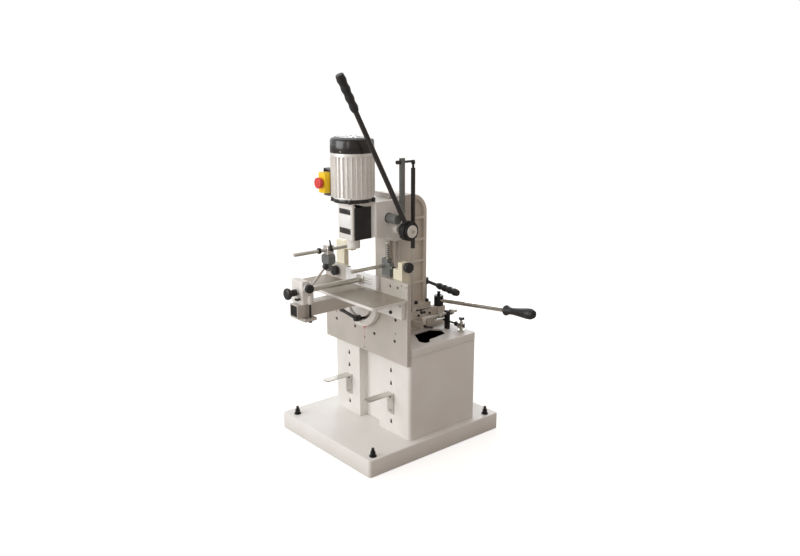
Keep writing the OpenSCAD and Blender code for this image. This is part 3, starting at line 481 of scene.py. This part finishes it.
def refinish_levers():
    """Black grip and hub on the chromed lever, chromed stem on the black cam lever."""
    refinish(dressed_copy["x_lever"], "black_plastic", lambda c, n: c.x > LEVER_GRIP_START)
    refinish(dressed_copy["x_lever"], "dark_steel", lambda c, n: c.x < LEVER_HUB_END)
    low = box_mm("cam_lever")[0]
    hub = Vector((0, low.y + CAM_HUB, low.z + CAM_HUB))

    def on_stem(c, n):
        out = (Vector((0, c.y, c.z)) - hub).length
        return CAM_STEM_START < out < CAM_STEM_END and abs(n.x) < 0.99 and c.z > hub.z + CAM_HUB_TOP

    refinish(dressed_copy["cam_lever"], "chrome", on_stem)


refinish_two_tone_pieces()
refinish_levers()


# ---------------------------------------------------------------- motor

motor_low, motor_high = box_mm("motor_body")
motor_axis = ((motor_low + motor_high) / 2)[:2]
motor_radius = (motor_high.x - motor_low.x) / 2
FLANGE_H = 17
FLANGE_IN = 9.4                   # how far the flange stands back from the fins' tips
LUGS, LUG_RADIUS, LUG_IN = 4, 8.5, 7
COVER_SCREW_UP = 8                # from the cover's lower rim


def around_motor(radius, share):
    """Point at a radius round the motor's axis, at a share of a full turn."""
    return (motor_axis[0] + radius * cos(tau * share), motor_axis[1] + radius * sin(tau * share))


def make_motor_flange():
    """Black cast flange under the fins, with a lug and a screw at each corner."""
    work = bmesh.new()
    bolts = bmesh.new()
    z = motor_low.z + 0.4
    radius = motor_radius - FLANGE_IN
    add_round(work, radius, radius, FLANGE_H, on_axis((*motor_axis, z), UP), 72, 2.0)
    for i in range(LUGS):
        x, y = around_motor(motor_radius - LUG_IN, (i + 0.5) / LUGS)
        add_round(work, LUG_RADIUS, LUG_RADIUS, FLANGE_H, on_axis((x, y, z), UP), 32, 1.5)
        add_cap_screw(bolts, 5, on_axis((x, y, z + FLANGE_H - 1), UP))
    finish_piece("motor_flange", work, "head", "black_enamel")
    finish_piece("motor_flange_screws", bolts, "head", "zinc")


def make_cover_screws():
    """Four small screws that hold the fan cover, just over its rim."""
    work = bmesh.new()
    rim_z = box_mm("fan_cover")[0].z + COVER_SCREW_UP
    for i in range(LUGS):
        x, y = around_motor(motor_radius - 1.2, (i + 0.25) / LUGS)
        add_cap_screw(work, 3, on_axis((x, y, rim_z), (x - motor_axis[0], y - motor_axis[1], 0)))
    finish_piece("cover_screws", work, "head", "zinc")


make_motor_flange()
make_cover_screws()


# ---------------------------------------------------------------- head

head_low, head_high = box_mm("head_casting")
hub_high = box_mm("lever_hub")[1]
HEAD_SIDE = 78
STOP_BOSS = (-78, 959)            # y and z of its axis
PIVOT = (-36, 912)                # y and z of the lever's axis
CAP_RADIUS, CAP_HEIGHT, CAP_DISH = 25, 4.2, 8
SLEEVE_RADIUS = 19.4              # just over the boss
COLLAR_THICK = 4
GIB_SCREWS = ((-10, 1008), (-14, 995), (-10, 977))     # y and z
PLATE_LEFT, PLATE_RIGHT, PLATE_PROUD = -35, 37, 0.7
PLATES = (("upper", 982, 1003, "black_enamel"), ("middle", 930, 979, "jaw_white"),
          ("lower", 904, 927, "black_enamel"))


def make_hub_cap():
    """Painted cap on the lever's hub, which leaves its black toothed rim in view."""
    work = bmesh.new()
    face = hub_high.x - 1
    rim, floor = CAP_HEIGHT - 1, CAP_HEIGHT - 0.8
    add_turned(work, [(0, 0), (CAP_RADIUS, 0), (CAP_RADIUS, rim), (CAP_RADIUS - 1, CAP_HEIGHT),
                      (CAP_DISH, CAP_HEIGHT), (CAP_DISH, floor), (0, floor)],
               on_axis((face, *PIVOT), RIGHT), 48)
    finish_piece("lever_hub_cap", work, "feed_lever", "white_paint")
    screw = bmesh.new()
    add_cap_screw(screw, 9, on_axis((face, *PIVOT), RIGHT))
    finish_piece("lever_hub_screw", screw, "feed_lever", "zinc")


def make_boss_sleeve():
    """Turned steel sleeve over the stop boss, with a dark collar where it leaves the head."""
    radius = SLEEVE_RADIUS
    length = head_high.x + 0.2 - HEAD_SIDE
    work = bmesh.new()
    add_turned(work, [(0, 0), (radius, 0), (radius, length - 1.5), (radius - 1.5, length), (0, length)],
               on_axis((HEAD_SIDE, *STOP_BOSS), RIGHT), 48)
    finish_piece("stop_boss_sleeve", work, "head", "zinc", "oiled_steel")
    collar = bmesh.new()
    inner, outer = radius - 2, radius + 1.4
    add_turned(collar, [(inner, 0), (outer, 0), (outer, COLLAR_THICK), (inner, COLLAR_THICK), (inner, 0)],
               on_axis((HEAD_SIDE + 0.2, *STOP_BOSS), RIGHT), 48)
    finish_piece("stop_boss_collar", collar, "head", "dark_steel")


def make_nose_plates():
    """Three bare plates on the front of the nose."""
    for name, bottom, top, slot in PLATES:
        work = bmesh.new()
        add_slab(work, (PLATE_LEFT, head_low.y - PLATE_PROUD, bottom),
                 (PLATE_RIGHT, head_low.y + 0.1, top), 0.25)
        finish_piece("nose_plate_" + name, work, "head", slot)


make_hub_cap()
make_boss_sleeve()
make_nose_plates()
screw_row("gib_screws", "head", "dark_steel", 6,
          [(HEAD_SIDE, y, z) for y, z in GIB_SCREWS], RIGHT)
screw_row("lobe_screws", "head", "dark_steel", 6, [(HEAD_SIDE, -17, 874)], RIGHT)


# ---------------------------------------------------------------- fence and table

fence_low = box_mm("fence_plate")[0]
TABLE_GAP, WEB_DEPTH = 0.3, 19
WEB_FRONT = fence_low.y - TABLE_GAP - WEB_DEPTH
FENCE_SCREWS = ((-196, 488), (-66, 486), (64, 486), (198, 575), (193, 486))     # x and z
FENCE_BORE_DEPTH = 12
TICKS, TICK_PITCH, TICK_HEIGHT, LOWEST_TICK = 5, 13, 6, 420
screw_row("fence_screws", "stand", "dark_steel", 8,
          [(x, fence_low.y + FENCE_BORE_DEPTH, z) for x, z in FENCE_SCREWS], FRONT)
screw_row("web_screw", "table", "dark_steel", 9, [(195, WEB_FRONT + 3, 612)], FRONT)
screw_row("web_end_screw", "table", "dark_steel", 4, [(250, WEB_FRONT + 2, 648)], FRONT)


def make_tilt_scale():
    """Index line under the disc: a red pointer and a row of engraved, filled ticks."""
    marks = bmesh.new()
    for i in range(TICKS):
        z = LOWEST_TICK + TICK_PITCH * i
        add_slab(marks, (-2.2, fence_low.y - 0.2, z), (-0.4, fence_low.y + 0.2, z + TICK_HEIGHT), 0.1)
    finish_piece("tilt_scale_marks", marks, "stand", "red_plastic")
    pointer = bmesh.new()
    add_slab(pointer, (-14, fence_low.y - 1.4, 500), (10, fence_low.y - 0.2, 506), 0.4)
    add_slab(pointer, (-3.5, fence_low.y - 1.4, 488), (-0.5, fence_low.y - 0.2, 502), 0.4)
    finish_piece("tilt_pointer", pointer, "stand", "red_plastic")


make_tilt_scale()


# ---------------------------------------------------------------- vice

jaw_low = box_mm("vice_jaw")[0]
block_low = box_mm("vice_block")[0]
CLAMP_BOTTOM, CLAMP_TOP, CLAMP_DEPTH = 694, 724, 5
RIB_HEIGHTS, RIB_HALF, RIB_DEPTH = (699, 709, 719), 1.6, 3


def make_jaw_clamp():
    """Bright clamp at the end of the vice rod and the ribbed strap that it holds."""
    work = bmesh.new()
    front = jaw_low.y - 0.2
    add_slab(work, (-20, front - CLAMP_DEPTH, CLAMP_BOTTOM), (24, front, CLAMP_TOP), 1.2)
    for z in RIB_HEIGHTS:
        add_slab(work, (20, front - RIB_DEPTH, z - RIB_HALF), (74, front, z + RIB_HALF), 0.8)
    finish_piece("jaw_clamp", work, "vice_slider", "zinc")


def make_vice_screw():
    """Small black hand screw under the vice knob."""
    work = bmesh.new()
    base = on_axis((18, block_low.y + 0.5, block_low.z + 22), FRONT)
    add_round(work, 4, 4, 14, base, 20, 0.5)
    add_wings(work, 2, 11, 6, base @ Matrix.Translation((0, 0, 12 * MM)))
    finish_piece("vice_hand_screw", work, "vice_carrier", "black_plastic")


make_jaw_clamp()
make_vice_screw()


# ---------------------------------------------------------------- carriage

SADDLE_FACE, SLIDE_FACE = 84, 96          # x of the sides that the screws stand on
SADDLE_SCREWS_Y, SADDLE_SCREWS_Z = (-50, 0, 72), 494
SLIDE_SCREWS_Y, SLIDE_SCREWS_Z = (-30, 12, 66, 128), 528
# Piece, body, and the place, axis and reach of each of its hand screws.
HAND_SCREWS = (("saddle", "saddle_body", (((150, 42, 541), UP, 13),)),
               ("slide", "column_body", (((84, 14, 544), UP, 12),)),
               ("post", "stand", (((214, 204, 495), UP, 13),)))
STEM_RADIUS, STEM_LENGTH, WINGS_UP = 3.5, 18, 14


def add_hand_screw(work, stem, place, axis, reach_mm):
    """Black winged head on a bright stem."""
    base = on_axis(place, axis)
    add_round(stem, STEM_RADIUS, STEM_RADIUS, STEM_LENGTH, base, 20, 0.4)
    add_wings(work, 3, reach_mm, 10, base @ Matrix.Translation((0, 0, WINGS_UP * MM)))


def make_hand_screws():
    """Hand screws that lock the stop rods and the slides."""
    for name, body, places in HAND_SCREWS:
        heads, stems = bmesh.new(), bmesh.new()
        for place, axis, reach in places:
            add_hand_screw(heads, stems, place, axis, reach)
        finish_piece(name + "_hand_screws", heads, body, "black_plastic")
        finish_piece(name + "_hand_stems", stems, body, "zinc")


def make_post_lever():
    """Small black clamp lever on the side of the saddle's post."""
    work = bmesh.new()
    base = on_axis((161, 43, 502), RIGHT)
    add_round(work, 6, 5, 10, base, 24, 0.6)
    add_turned(work, [(0, 0), (3, 0), (2.6, 20), (4.6, 30), (3.4, 33), (0, 34)],
               on_axis((168, 43, 502), (0.3, 1, -0.3)), 20)
    finish_piece("post_clamp_lever", work, "saddle_body", "black_plastic")


make_hand_screws()
make_post_lever()
screw_row("saddle_side_screws", "saddle_body", "dark_steel", 6,
          [(SADDLE_FACE, y, SADDLE_SCREWS_Z) for y in SADDLE_SCREWS_Y], RIGHT)
screw_row("slide_side_screws", "column_body", "dark_steel", 6,
          [(SLIDE_FACE, y, SLIDE_SCREWS_Z) for y in SLIDE_SCREWS_Y], RIGHT)
screw_row("post_foot_screws", "stand", "dark_steel", 5, [(204, 198, 445), (224, 210, 445)], UP)


# ---------------------------------------------------------------- cabinet

PANEL_SIDE_MARGIN, PANEL_FOOT_MARGIN, PANEL_TOP_MARGIN = 70, 45, 40
PANEL_THICK = 1.2
PANEL_SCREW_IN = 12


def make_back_panel():
    """Sheet-steel cover over the back of the cabinet, held by six screws."""
    low, high = box_mm("cabinet")
    work = bmesh.new()
    left, right = low.x + PANEL_SIDE_MARGIN, high.x - PANEL_SIDE_MARGIN
    bottom, top = low.z + PANEL_FOOT_MARGIN, high.z - PANEL_TOP_MARGIN
    add_slab(work, (left, high.y - 0.2, bottom), (right, high.y + PANEL_THICK, top), 0.5)
    finish_piece("back_panel", work, "stand", "white_paint")
    screw_row("back_panel_screws", "stand", "zinc", 4,
              [(x, high.y + 1, z) for x in (left + PANEL_SCREW_IN, right - PANEL_SCREW_IN)
               for z in (bottom + PANEL_SCREW_IN, (bottom + top) / 2, top - PANEL_SCREW_IN)], BACK)


make_back_panel()
